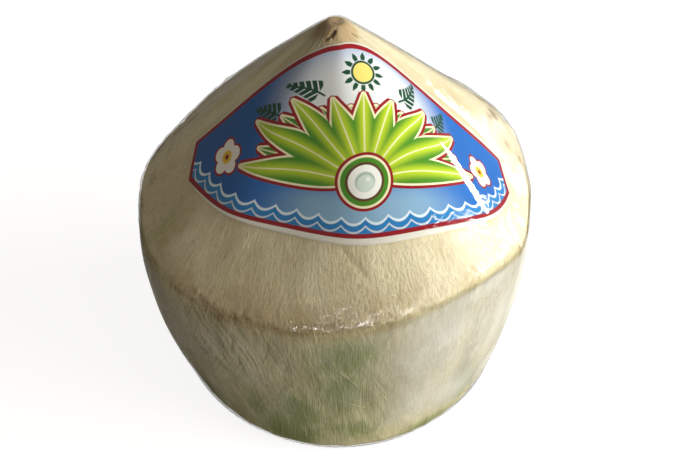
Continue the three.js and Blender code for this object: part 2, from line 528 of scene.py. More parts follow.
def alongLines(angle, run, lines):
    # The most of several narrow ridges. Each is a line between two (angle, run) places with a
    # half width and a height: the height times a bell of the distance off the line, fading out
    # at the line's ends.
    total = np.zeros(np.broadcast(angle, run).shape)
    for (angle0, run0), (angle1, run1), halfWidth, height in lines:
        x = awayRound(angle, (angle0 + angle1) / 2) * girthAt(run)
        y = run - (run0 + run1) / 2
        dx, dy = np.radians(angle1 - angle0) * girthAt((run0 + run1) / 2), run1 - run0
        length = np.hypot(dx, dy)
        along, off = (x * dx + y * dy) / length, (x * dy - y * dx) / length
        ends = fade(length * 0.62, length * 0.3, np.abs(along))
        total = np.maximum(total, height * ends * hill(off, 0.0, halfWidth))
    return total


def alongCracks(angle, run, cracks):
    # The same for cracks near the tip: a bell of the distance in space off each straight line.
    places = placed(angle, run, 0.0)
    total = np.zeros(places.shape[:-1])
    for (angle0, run0), (angle1, run1), halfWidth, depth in cracks:
        start, end = placed(np.radians([angle0, angle1]), np.array([run0, run1], float), 0.0)
        share = np.clip((places - start) @ (end - start) / ((end - start) @ (end - start)), 0, 1)
        off = np.linalg.norm(places - start - share[..., None] * (end - start), axis=-1)
        total = np.maximum(total, depth * hill(off, 0.0, halfWidth))
    return total


# The label's flat shape comes here, because the husk and the film need it too.
labelPlan = {
    "halfWidth": 63.8, "footHalfWidth": 62.0, "top": 9.4, "sideSlope": 0.487,
    "topRound": 7.4, "sideLow": 47.5, "bottom": 71.5, "shift": 6.3, "turn": 1.3,
    "topSlips": (4.5, -2.3, -7.6), "bottomSlips": (7.3,),
    "columns": 190, "rows": 76,
    "lift": 0.3, "thickness": 0.16, "ripple": 0.05, "rippleSize": 14.0,
    "curl": 0.07, "curlWidth": 2.5, "curlPatchSize": 9.0, "broadShare": 0.6,
}
labelSag = labelPlan["bottom"] - labelPlan["sideLow"]
labelArc = (labelPlan["footHalfWidth"] ** 2 + labelSag**2) / (2 * labelSag)


def labelEdges(x):
    # The label's top edge, straight sides with a rounded top, and its bottom edge, a circle's arc.
    p = labelPlan
    top = p["top"] + np.hypot(p["sideSlope"] * x, p["topRound"]) - p["topRound"]
    return top, p["bottom"] - labelArc + np.sqrt(np.maximum(labelArc**2 - x**2, 0))


def slipped(slips, share):
    # How far down an edge slipped: powers of the share across, and nothing at both ends.
    return (1 - share**2) * sum(slip * share ** (i + 1) for i, slip in enumerate(slips))


def flatTurned(x, y, degrees):
    # A flat place turned about the middle of the label's bottom edge.
    turn, dy = np.radians(degrees), y - labelPlan["bottom"]
    return x * np.cos(turn) - dy * np.sin(turn), x * np.sin(turn) + dy * np.cos(turn) + labelPlan["bottom"]


def labelBent(x, y):
    # A flat place on the label as its angle and run on the cone: it is turned, shifted, and
    # unrolled about the cone's point.
    flatX, flatY = flatTurned(x, y, labelPlan["turn"])
    flatX = flatX + labelPlan["shift"]
    angle = np.arctan2(flatX, flatY) / starts["coneTurn"] - np.pi / 2
    share = (np.hypot(flatX, flatY) - starts["apexToCone"]) / starts["coneChord"]
    return angle, starts["cone"] + share * starts["coneRun"]


def overLabel(angle, run, margin):
    # How far inside the label a place on the husk is, as 0 outside to 1 inside over a margin.
    p, beyond = labelPlan, 9.0
    slant = (run - starts["cone"]) / starts["coneRun"] * starts["coneChord"] + starts["apexToCone"]
    around = awayRound(angle, -90) * starts["coneTurn"]
    x, y = flatTurned(slant * np.sin(around) - p["shift"], slant * np.cos(around), -p["turn"])
    x = np.clip(x, -p["halfWidth"] - beyond, p["halfWidth"] + beyond)
    share = np.clip(x / p["halfWidth"], -1, 1)
    top, bottom = labelEdges(share * p["halfWidth"])
    top, bottom = top + slipped(p["topSlips"], share), bottom + slipped(p["bottomSlips"], share)
    inside = np.minimum(np.minimum(y - top, bottom - y), p["halfWidth"] - np.abs(x))
    inside = np.where(run < starts["shoulder"] + 4, inside, -beyond)
    return fade(-margin, 0, inside)


huskPlan = {
    "columns": 600,
    "rows": [(10, 26), (86, 52), (102, 24), (154, 34), (172, 15), (204, 11), (233.5, 5)],
    "broadSize": 24.0, "broadDepth": 0.32, "lumpPatchSize": 21.0,
    "coneStrokes": 29, "coneStrokeDepth": 0.16, "coneStrokeWander": 1.4,
    "wallStrokes": 41, "wallStrokeDepth": 0.3, "wallStrokeWander": 2.2, "strokeWanderSize": 34.0,
    "wallPatchSize": 26.0, "lipDepth": 0.16, "lipPatchSize": 15.0,
    "creaseNicks": 0.3, "creaseNickSize": 4.2,
    "creaseRough": 0.3, "creaseRoughSize": 3.4,
    "fineSize": 2.6, "fineDepth": 0.09, "sawDepth": 0.12, "sawTurns": 0.9, "sawWanderSize": 18.0,
    "stainWander": 2.2, "stainWanderSize": 11.0, "edgePatchSize": 6.0, "warmPatchSize": 12.0,
    "notches": [  # the ends of each cut, its half width and its depth
        ((-84.2, 91), (-82.6, 97), 0.6, 0.3), ((-79.6, 92.5), (-80.4, 96.8), 0.6, 0.25),
        ((-118.8, 92.5), (-115.6, 95.5), 1.1, 0.45), ((-91.4, 69), (-83, 80.6), 0.5, 0.6),
        ((152, 88), (146, 97), 1.0, 0.8), ((71, 90), (64, 98), 1.1, 0.9),
        ((20, 88), (24, 96), 1.0, 0.8), ((112, 60), (121, 84), 0.5, 0.3),
        ((22, 74.5), (18, 77), 0.7, 0.5), ((13, 71), (9, 76), 0.6, 0.45),
        ((19, 79.5), (13, 82), 0.7, 0.5), ((9, 82.5), (4, 84), 0.6, 0.4),
    ],
    "tipCracks": [  # the (angle, run) of its two ends, its half width and its depth
        ((-92, 3.4), (-104, 4.9), 0.3, 0.25), ((-101, 4.6), (-108, 5.9), 0.55, 0.9),
        ((-108, 5.7), (-124, 7.6), 0.35, 0.55), ((-34, 6.4), (-24, 8.8), 0.3, 0.4),
    ],
    # round the first side the tip gets painted shade, in dark brown
    "shadedTipSide": -158, "warmSide": -110,  # degrees round
    # each spot: angle, run, half width, half length, strength
    "greens": [
        (-109, 163, 13, 11, 1.0), (-105, 148, 10, 14, 0.8), (-90, 113, 14, 14, 0.7),
        (-91, 134, 12, 22, 0.65), (-88, 160, 13, 10, 0.6), (-119, 152, 6, 14, 0.6),
        (-44, 160, 7, 7, 0.8), (-48, 148, 6, 8, 0.6), (-62, 170, 14, 5, 0.7),
        (-140, 160, 12, 8, 0.5), (-165, 148, 9, 14, 0.55), (150, 162, 13, 7, 0.7),
        (118, 140, 7, 16, 0.5), (95, 163, 14, 8, 0.9), (62, 150, 8, 14, 0.6),
        (30, 160, 11, 8, 0.7), (5, 140, 6, 12, 0.4), (-15, 163, 9, 6, 0.5), (-155, 84, 8, 12, 0.3),
    ],
    # the first two, on the lit side, paint the half-lit band of a rounded edge: painted shade; the rest are
    # straw-coloured husk
    "straws": [
        (-34, 97.2, 42, 4.2, 0.1), (-58, 96.4, 12, 4.2, 0.15), (-98, 92.5, 40, 8.5, 0.85),
        (-86, 99, 30, 3.8, 0.7), (100, 98, 30, 3.4, 0.6),
    ],
    # where the brown band along the sharp edge is taken off, on the lit side, so that the band also paints
    # shade on the shaded side
    "litSideEdges": [(-36, 96, 46, 12, 0.85), (60, 96, 20, 12, 0.6)],
    # where the wall gets fine hair-like lines: painted wrinkle glints and painted shade on the husk, and
    # hazy threads in the film
    "hairs": [
        (-126, 112, 30, 24, 1.0), (-95, 122, 22, 30, 0.45), (-50, 120, 30, 26, 0.5),
        (20, 120, 30, 26, 0.7), (90, 118, 34, 26, 0.8), (155, 116, 34, 26, 0.9),
    ],
    "browns": [
        (-119, 94, 6, 3.6, 1.0), (-110, 95, 9, 2.8, 0.7), (-130, 94.5, 9, 3.2, 0.6),
        (-72, 95.5, 5, 1.8, 0.5), (-171, 94, 9, 2.6, 0.9), (166, 91, 8, 3.5, 1.2),
        (163, 82, 5, 4, 1.1), (161, 73, 4, 4.5, 1.1), (157, 66, 4, 4.5, 0.9), (176, 79, 3, 3, 0.8),
        (-176, 88, 5, 3, 0.8), (-168, 70, 3, 3, 0.5), (27, 80, 6, 4, 1.1), (20, 82, 5, 4, 1.2),
        (16, 77, 3.5, 4, 1.0), (12, 75, 3, 3, 0.9), (9, 84, 4, 3, 0.9), (-92, 94.4, 26, 3, 0.8),
        (-126, 93.8, 24, 3.6, 0.85), (4, 90, 6, 4, 0.8), (66, 94, 8, 3, 0.9),
        (28, 88.5, 7, 4, 1.1), (22, 86, 4, 3, 1.0), (98, 93, 9, 2.5, 0.7),
        (124, 90, 6, 3, 0.7), (-92, 97, 18, 2.2, 0.6), (-140, 96, 14, 2.2, 0.6),
    ],
}


def strokes(angle, places, count, wander, seed):
    # Side-by-side knife strokes: the distance from the middle of the nearest one, squared, so
    # that each is a shallow hollow with a ridge at its edges. Noise makes their edges wander.
    around = angle * count / tau + wander * layeredNoise(places, huskPlan["strokeWanderSize"], seed)
    share = around - np.floor(around) - 0.5
    return 1 - 4 * share * share


def broadRelief(angle, run):
    # The slow unevenness that the husk, label and film share, with lumps near the sharp edge.
    h = huskPlan
    places = placed(angle, run, 0.0)
    lumps = layeredNoise(places, h["creaseRoughSize"], 5) * hill(run, crease - 2.5, 4.5)
    patchy = fade(-0.5, 0.3, softNoise(places, h["lumpPatchSize"], 9))
    return h["broadDepth"] * layeredNoise(places, h["broadSize"], 3) + h["creaseRough"] * lumps * patchy


def huskRelief(angle, run):
    # How far the knife and tears take the husk in from its plain shape: strokes on cone and wall,
    # nicks and a lip at the sharp edge, fine grain, single cuts, and a saw's waves on the foot.
    h = huskPlan
    places = placed(angle, run, 0.0)
    covered = overLabel(angle, run, 1.0)
    onCone = fade(crease - 2, crease - 12, run) * fade(3, 12, run)
    onWall = fade(crease + 2, crease + 10, run) * fade(starts["crown"], starts["base"], run)
    cone = strokes(angle, places, h["coneStrokes"], h["coneStrokeWander"], 11)
    wall = strokes(angle, places, h["wallStrokes"], h["wallStrokeWander"], 17)
    wall = h["wallStrokeDepth"] * wall * onWall
    wall = wall * (0.35 + 0.65 * fade(-0.4, 0.5, softNoise(places, h["wallPatchSize"], 23)))
    nicks = fade(0.05, 0.85, layeredNoise(places, h["creaseNickSize"], 31))
    nicks = h["creaseNicks"] * nicks * hill(run, crease, 3.0)
    lip = h["lipDepth"] * fade(crease - 0.6, crease + 1.2, run) * fade(crease + 9, crease + 1.2, run)
    lip = lip * fade(-0.7, 0.2, softNoise(places, h["lipPatchSize"], 37))
    fine = h["fineDepth"] * (1 + layeredNoise(places, h["fineSize"], 41))
    cuts = alongLines(angle, run, h["notches"]) + alongCracks(angle, run, h["tipCracks"])
    onFoot = fade(starts["crown"] - 2, starts["crown"] + 6, run)
    sawWander = 1.5 * softNoise(places, h["sawWanderSize"], 43)
    saw = h["sawDepth"] * (1 + np.sin(places[..., 0] * h["sawTurns"] + sawWander)) * onFoot
    saw = saw * fade(starts["foot"], starts["foot"] - 3, run)
    shaved = (h["coneStrokeDepth"] * cone * onCone + wall) * (1 - 0.6 * covered)
    return -shaved - nicks - lip - fine * (1 - covered) - cuts - saw


def huskCoverage(angle, run):
    # What the husk's colours need at each point: soft masks from 0 to 1.
    h = huskPlan

    def near(side, far, close):
        return fade(far, close, np.abs(np.degrees(awayRound(angle, side))))

    def spotted(kind, shift=0.0):
        return aroundSpots(angle, run + shift, h[kind])

    places = placed(angle, run, 0.0)
    wander = h["stainWander"] * layeredNoise(places, h["stainWanderSize"], 53)
    edge = hill(run + wander * 0.7, crease + 1.8, 2.4)
    edge = edge * (0.6 + 0.4 * softNoise(places, h["edgePatchSize"], 57))
    above = hill(np.minimum(run, crease) + wander, crease, 15.0) * fade(crease + 2.5, crease, run)
    warm = above * (0.7 + 0.3 * softNoise(places, h["warmPatchSize"], 59))
    warm = warm * (0.15 + 0.95 * near(h["warmSide"], 65, 25))
    # The tan tip is painted paler on the side that faces the light: painted light.
    tipLitSide = fade(-50, -20, np.degrees(angle)) * fade(60, 20, np.degrees(angle))
    return {
        # brown band along the sharp edge, partly painted shade: it is taken off on the lit side
        "edge": edge * (1 - spotted("litSideEdges")),
        # straw colour, where the spots on the lit side paint the half-lit band of a rounded edge
        "warm": np.maximum(warm, spotted("straws", 0.5 * wander)),
        "brown": spotted("browns", wander),
        "green": spotted("greens", 2.5 * wander),
        "tip": fade(13, 4, run + wander) * (1 - 0.45 * tipLitSide),
        "wall": fade(crease - 0.5, crease + 2.0, run + 0.4 * wander),
        "hairy": spotted("hairs"),
        "crack": np.minimum(alongCracks(angle, run, h["tipCracks"]) * 2.0, 1.0),
        # painted shade: dark brown on the tip's shaded facets
        "darkBrownAndShade": near(h["shadedTipSide"], 58, 28) * fade(15, 5, run + wander),
    }


def makeHusk():
    # Rows of points from the tip to the foot, moved off the plain shape, with a pole at each end.
    columns = huskPlan["columns"]
    angle, run = gridOf(columns, *huskPlan["rows"])
    run = run[:-1]
    lift = broadRelief(angle, run) * fade(starts["foot"], starts["crown"], run) + huskRelief(angle, run)
    lift = np.where(run > starts["crown"] + 10, np.minimum(lift, 0.0) * 0.4, lift)
    points = placed(angle, run, lift)
    points[..., 2] = np.maximum(points[..., 2], 0.0)
    top, foot = placed(0.0, 0.0, np.zeros(1)), [[*trim["baseLean"], 0.0]]
    rows, count = len(run), len(run) * columns
    masks = streakMasks(angle, run, np.r_[0:count, 0, count - 1])
    for key, values in huskCoverage(angle, run).items():
        values = np.broadcast_to(values, (rows, columns)).ravel()
        masks[key] = np.r_[values, values[0], 0.0]
    ring = np.arange(columns)
    faces = [gridFaces(rows, columns), fanFaces(ring, count),
             fanFaces(ring + count - columns, count + 1, True)]
    return makePiece("husk", np.concatenate([points.reshape(-1, 3), top, foot]), faces, masks)


huskPaint = {
    "pale": srgb(238, 226, 190), "deep": srgb(214, 199, 158), "fibre": srgb(176, 156, 112),
    "straw": srgb(168, 140, 90), "edge": srgb(150, 118, 70), "brown": srgb(120, 84, 44),
    "darkBrownAndShade": srgb(96, 68, 40), "green": srgb(124, 138, 62), "shade": srgb(112, 104, 70),
    "wallPale": srgb(220, 210, 164), "wallGrey": srgb(182, 172, 124), "tipTan": srgb(206, 174, 126),
    "gloss": 0.12,
}


def makeHuskFinish():
    c = huskPaint
    f = Finish(bpy.data.materials.new("shavedHusk"))
    place = f.objectPlace()
    wall, edge, warm, brown, green = f.masks("wall", "edge", "warm", "brown", "green")
    tip, darkBrownAndShade, crack, hairy = f.masks("tip", "darkBrownAndShade", "crack", "hairy")

    cloud = f.streaked("grain", 0.45, 15.0, 3.0)
    mottle = f.noise(place, 2.6, 3.0, 0.6)
    dashes = f.streaked("grain", 0.42, 0.95, 3.0, 0.65)
    grit = f.noise(place, 0.7, 2.0, 0.6)
    hairs = f.streaked("grain", 0.06, 0.6, 1.0, 0.5)
    slanted = f.streaked("pull", 0.06, 1.5, 1.5, 0.5)
    crossing = f.streaked("cross", 0.07, 1.2, 1.5, 0.5)
    specks = f.noise(place, 1.1, 2.0, 0.7)
    lines = f.rise(hairs, 0.58, 0.72) * wall
    # Pale thin lines painted as the film wrinkles' glints on the wall, with painted shade in the gaps beside
    # them.
    wrinkleGlintLines = f.threads(slanted, 0.035).most(f.threads(crossing, 0.03)) * hairy * wall
    wrinkleShadeLines = f.rise(slanted, 0.55, 0.62).most(f.rise(crossing, 0.58, 0.64)) * hairy * wall

    spotted, dashed, mottled = specks - 0.5, dashes - 0.5, mottle - 0.5
    color = f.laid(
        f.laid(c["pale"], (f.rise(cloud, 0.35, 0.68), c["deep"])),
        (wall, f.laid(c["wallPale"], (f.rise(cloud, 0.38, 0.64), c["wallGrey"]))),
        (f.rise(mottle, 0.5, 0.75) * 0.3, c["deep"]),
        (f.rise(dashes, 0.5, 0.72) * 0.42, c["fibre"]),
        (f.rise(dashes, 0.46, 0.3) * 0.35, c["pale"]),
        (lines * 0.3, c["fibre"]),
        # painted shade and painted glints of the film's wrinkles on the wall
        (wrinkleShadeLines * 0.6, c["shade"]),
        (wrinkleGlintLines * 0.6, c["pale"]),
        (f.rise(green + mottled * 0.4 + (hairs - 0.5) * 0.4, 0.05, 0.8) * 0.92, c["green"]),
        (f.rise(warm + mottled * 0.5, 0.15, 1.1) * 0.6, c["straw"]),
        # brown band along the sharp edge, partly painted shade
        (f.rise(edge + dashed * 0.7 + spotted * 0.4, 0.2, 0.9) * 0.6, c["edge"]),
        (f.rise(brown + spotted + dashed * 0.6, 0.35, 1.25) * 0.75, c["brown"]),
        # tan tip, painted paler where it faces the light
        (f.rise(tip + mottled * 0.8, 0.25, 0.95) * 0.85, c["tipTan"]),
        # painted shade on the tip's shaded facets; the cracks below are dark brown
        (darkBrownAndShade * (0.28 + 0.4 * mottle), c["darkBrownAndShade"]),
        (f.rise(crack + spotted * 0.7, 0.3, 0.8) * 0.85, c["darkBrownAndShade"]),
    )
    coneHeight = 0.9 * dashes + 0.5 * mottle + 0.25 * grit
    wallHeight = 0.3 * dashes + 0.3 * mottle + 0.4 * hairs + 0.5 * slanted + 0.25 * wrinkleGlintLines
    height = coneHeight + wall * (wallHeight - coneHeight)
    return f.shown(f.principled({
        "Base Color": color, "Roughness": 0.58 + 0.2 * mottle + 0.1 * lines,
        "Normal": f.bump(height, 0.5, 0.8), "Specular IOR Level": c["gloss"],
    }))


finished(makeHusk(), makeHuskFinish(), "husk", "coconut")


labelPaint = {
    "paper": srgb(236, 230, 216), "line": srgb(150, 10, 28), "deepBlueAndShade": srgb(34, 96, 158),
    "shallow": srgb(140, 178, 204), "sky": srgb(12, 102, 184), "glow": srgb(232, 234, 230),
    "cream": srgb(250, 240, 196), "leafDark": srgb(74, 140, 32), "leafLight": srgb(190, 212, 40),
    "deepGreen": srgb(14, 74, 48), "shell": srgb(96, 58, 30), "flesh": srgb(250, 248, 238),
    "rim": srgb(176, 190, 176), "juice": srgb(214, 226, 214), "petal": srgb(252, 248, 236),
    "pollen": srgb(240, 196, 48), "wave": srgb(40, 128, 190), "foam": srgb(226, 238, 244),
    "sun": srgb(246, 222, 120),
}

labelArt = {
    # margins at the left and right ends, and how much narrower the bottom one gets to each end
    "topMargin": (0.45, 0.7), "sideMargin": (0.5, 0.9), "bottomMargin": 2.0,
    "bottomRise": (0.0005, 0.00045), "lineWidth": 1.4,
    "fanMiddle": (0.0, 52.5), "fanLeaves": 9, "fanSpread": 160.0, "fanStart": 3.2,
    "fanLength": 24.0, "fanSideways": 13.0, "leafWidth": 4.1, "nutRadius": 7.6,
    "flowers": [(-45.5, 42.5), (45.5, 42.5)], "flowerRadius": 5.4, "petals": 5,
    "sunMiddle": (0.0, 19.0), "sunRadius": 3.4, "sunRays": 12, "rayLength": 2.6,
    "waveHeight": 5.2, "waveLength": 7.6, "waveDip": 2.0, "foamDrop": 2.6,
    # each sprig: where its stem starts, which way it leans and its length
    "sprigs": [
        ((-11.5, 26.5), -58.0, 11.5), ((-24.5, 32.0), -62.0, 10.5),
        ((11.5, 26.5), 58.0, 11.5), ((24.5, 32.0), 62.0, 10.5),
    ],
    "sprigWidth": 3.8, "leafletPitch": 2.1, "gloss": 0.03,
}


def makeLabel():
    # Two sheets of points, front and back, joined round the edge. A column is a share across and
    # a row a share down, and the place between the edges is blended by those.
    p = labelPlan
    rows, columns = p["rows"], p["columns"]
    across = np.linspace(-1, 1, columns)[None, :]
    down = np.linspace(0, 1, rows)[:, None]
    x = across * (p["halfWidth"] + (p["footHalfWidth"] - p["halfWidth"]) * down)
    top = labelEdges(across * p["halfWidth"])[0]
    bottom = labelEdges(across * p["footHalfWidth"])[1]
    y = top + (bottom - top) * down
    slip = slipped(p["topSlips"], across) * (1 - down) + slipped(p["bottomSlips"], across) * down
    angle, run = labelBent(x, y + slip)
    spots = placed(angle, run, 0.0)
    ripple = p["ripple"] * layeredNoise(spots, p["rippleSize"], 71)
    inset = np.minimum(np.minimum(across + 1, 1 - across) * p["halfWidth"],
                       np.minimum(down, 1 - down) * (bottom - top))
    curl = p["curl"] * fade(p["curlWidth"], 0, inset) * (1 + softNoise(spots, p["curlPatchSize"], 73))
    base = broadRelief(angle, run) * p["broadShare"] + p["lift"] + ripple + curl * 0.5
    front, back = placed(angle, run, base + p["thickness"]), placed(angle, run, base)
    count = rows * columns
    index = np.arange(count).reshape(rows, columns)
    quads = np.stack([index[:-1, :-1], index[1:, :-1], index[1:, 1:], index[:-1, 1:]], -1).reshape(-1, 4)
    border = np.r_[index[0, :-1], index[:-1, -1], index[-1, :0:-1], index[:0:-1, 0]]
    after = np.roll(border, -1)
    rim = np.stack([border, after, after + count, border + count], -1)
    points = np.concatenate([front.reshape(-1, 3), back.reshape(-1, 3)])
    flat = np.stack([x + 0 * y, y], -1).reshape(-1, 2) / 100
    faces = [quads, quads[:, ::-1] + count, rim]
    return makePiece("labelSheet", points, faces, uv=np.concatenate([flat, flat]))


def makeLabelFinish():
    c, a, p = labelPaint, labelArt, labelPlan
    f = Finish(bpy.data.materials.new("printedLabel"))
    flat = f.node("ShaderNodeSeparateXYZ", {}, {0: f.node("ShaderNodeUVMap", {"uv_map": "flat"}, {})})
    x, y = flat * 100.0, flat.out("Y") * 100.0  # millimetres across and down the flat label
    rise = f.rise

    def away(middle):
        dx, dy = x - middle[0], middle[1] - y
        return dx, dy, (dx * dx + dy * dy) ** 0.5

    def within(value, limit, soft=0.12):
        return rise(value, limit + soft, limit - soft)

    def bySide(left, right):
        return left + rise(x, -7.0, 7.0) * (right - left)

    # how far inside the cut edge a place is, and then how far inside the white margin
    slopeX = abs(x) * p["sideSlope"]
    topEdge = (slopeX * slopeX + p["topRound"] ** 2) ** 0.5 + (p["top"] - p["topRound"])
    fromTop = (y - topEdge) / np.hypot(1, p["sideSlope"])
    below = y - (p["bottom"] - labelArc)
    fromBottom = labelArc - (x * x + below * below) ** 0.5 + x * x * bySide(*a["bottomRise"])
    fromSide = (p["halfWidth"] - 0.5) - abs(x) - (y - 40.0) * 0.08
    inside = (fromTop - bySide(*a["topMargin"])).least(fromBottom - a["bottomMargin"])
    inside = inside.least(fromSide - bySide(*a["sideMargin"]))

    # ground: deep blue to the sides and edges, pale towards the middle
    spread = ((x * 0.7) * (x * 0.7) + (y - 28.0) * (y - 28.0)) ** 0.5
    art = f.laid(
        c["glow"], (rise(spread, 9.0, 26.0), c["sky"]),
        (rise(y, 48.0, 60.0) * rise(abs(x), 40.0, 14.0), c["shallow"]),
        # a darker, duller blue towards the left end: partly print, partly painted shade on the label's
        # shaded side
        (rise(x, -14.0, -52.0) * 0.7, c["deepBlueAndShade"]),
    )

    # sprigs: a stem with slanting leaflets that shorten towards its end
    for start, lean, length in a["sprigs"]:
        dx, dy, _ = away(start)
        cosine, sine = np.cos(np.radians(lean)), np.sin(np.radians(lean))
        stem = dy * cosine + dx * sine
        side = abs(dx * cosine - dy * sine + 0.02 * stem * stem)
        share = stem / length
        width = a["sprigWidth"] * (1.25 - share).least(1.0) * rise(share, -0.02, 0.25)
        comb = (stem - side * 0.75 + 20.0).zigzag(a["leafletPitch"] / 2)
        leaflets = rise(comb, 0.82, 0.68) * within(side - width, 0.0, 0.25)
        leaflets = leaflets * rise(share, 0.16, 0.2) * rise(share, 1.15, 1.05)
        rib = rise(side, 0.42, 0.25) * rise(share, -0.02, 0.02) * rise(share, 1.05, 1.0)
        art = f.laid(art, (leaflets.most(rib), c["deepGreen"]))

    # waves along the bottom: two rows of scallops that follow the curved edge
    crest = (x.turnFrom(below) * labelArc).zigzag(a["waveLength"] / 2)
    waveTop = a["bottomMargin"] + a["lineWidth"] + a["waveHeight"] - crest * (2.0 - crest) * a["waveDip"]
    lowTop = waveTop - a["foamDrop"]
    water = within(fromBottom, waveTop, 0.15)
    foam = water * rise(fromBottom, waveTop - 1.0, waveTop - 0.75)
    lowFoam = within(fromBottom, lowTop, 0.15) * rise(fromBottom, lowTop - 0.75, lowTop - 0.5)
    art = f.laid(art, (water, c["wave"]), (foam, c["foam"]), (lowFoam * 0.8, c["glow"]))

    # sun: a disc with pointed rays
    dx, dy, sunAway = away(a["sunMiddle"])
    radius = a["sunRadius"]
    ray = dx.turnFrom(dy).zigzag(np.pi / a["sunRays"])
    rays = within(sunAway, radius + 0.7 + (1.0 - ray) * a["rayLength"]) * rise(ray, 0.62, 0.5)
    rays = rays * rise(sunAway, radius + 0.5, radius + 0.8)
    disc = within(sunAway, radius + 0.45)
    art = f.laid(art, (rays.most(disc), c["deepGreen"]), (within(sunAway, radius - 0.25), c["sun"]))

    # fan of leaves: each leaf's half width swells and narrows along its length
    dx, dy, fanAway = away(a["fanMiddle"])
    fanTurn = dx.turnFrom(dy)
    step = np.radians(a["fanSpread"]) / (a["fanLeaves"] - 1)
    for offset, lengthShare, light, dark in (
        (0.5, 0.86, c["leafDark"], c["deepGreen"]), (0.0, 1.0, c["leafLight"], c["leafDark"]),
    ):
        limit = (a["fanLeaves"] - 1) / 2 - offset
        number = ((fanTurn / step - offset).rounded() + offset).least(limit).most(-limit)
        off = fanTurn - number * step  # from the nearest leaf's middle
        side = abs(off.sine() * fanAway)
        length = a["fanLength"] + a["fanSideways"] * rise(abs(number * step), 0.3, 1.1)
        share = (off.cosine() * fanAway - a["fanStart"]) / (length * lengthShare)
        beyond = (share - 1.0).most(0.0) * 60.0
        swell = (share.most(0.0).least(1.0) ** 0.8 * np.pi).sine()
        leaf = side - swell * a["leafWidth"] + beyond
        inner = f.laid(light, (rise(side, 0.0, 3.4), dark), (rise(side, 0.35, 0.15) * 0.8, c["cream"]))
        art = f.laid(
            art, (rise(leaf, 1.75, 1.55), c["line"]), (rise(leaf, 0.75, 0.6), c["cream"]),
            (within(leaf, 0.0, 0.08), inner),
        )

    # halved coconut in front of the fan
    radius, (nutX, nutY) = a["nutRadius"], a["fanMiddle"]
    rings = ((1.3, "line"), (0.4, "cream"), (-0.3, "leafDark"), (-1.7, "shell"), (-2.5, "flesh"))
    art = f.laid(
        art, *((within(fanAway, radius + reach), c[name]) for reach, name in rings),
        (within(fanAway, radius - 4.6, 0.3), c["rim"]),
        (within(away((nutX + 0.1, nutY + 0.5))[2], radius - 5.0, 0.3), c["juice"]),
        (within(away((nutX + 0.9, nutY - 0.7))[2], 0.55, 0.3), c["flesh"]),
    )

    # flowers: round petals about a middle
    half = np.pi / a["petals"]
    for number, middle in enumerate(a["flowers"]):
        dx, dy, flowerAway = away(middle)
        lobe = ((dx.turnFrom(dy) + 0.4 * number).zigzag(half) * (1.7 * half)).cosine()
        reach = a["flowerRadius"] * (0.42 + 0.58 * lobe)
        art = f.laid(
            art, (within(flowerAway, reach + 1.0), c["line"]),
            (within(flowerAway, reach + 0.25), c["petal"]),
            (within(flowerAway, 2.1, 0.4), c["pollen"]), (within(flowerAway, 0.8, 0.2), c["line"]),
        )

    wear = f.noise(f.objectPlace(), 5.0, 3.0)
    color = f.laid(
        art, (within(inside, a["lineWidth"], 0.08), c["line"]),
        (within(inside, 0.0, 0.08), c["paper"]), (rise(wear, 0.45, 0.75) * 0.01, c["paper"]),
    )
    return f.shown(f.principled({
        "Base Color": color, "Roughness": 0.48 + 0.12 * wear,
        "Normal": f.bump(f.noise(f.objectPlace(), 6.0), 0.12, 0.5),
        "Specular IOR Level": a["gloss"],
    }))


finished(makeLabel(), makeLabelFinish(), "label", "label")


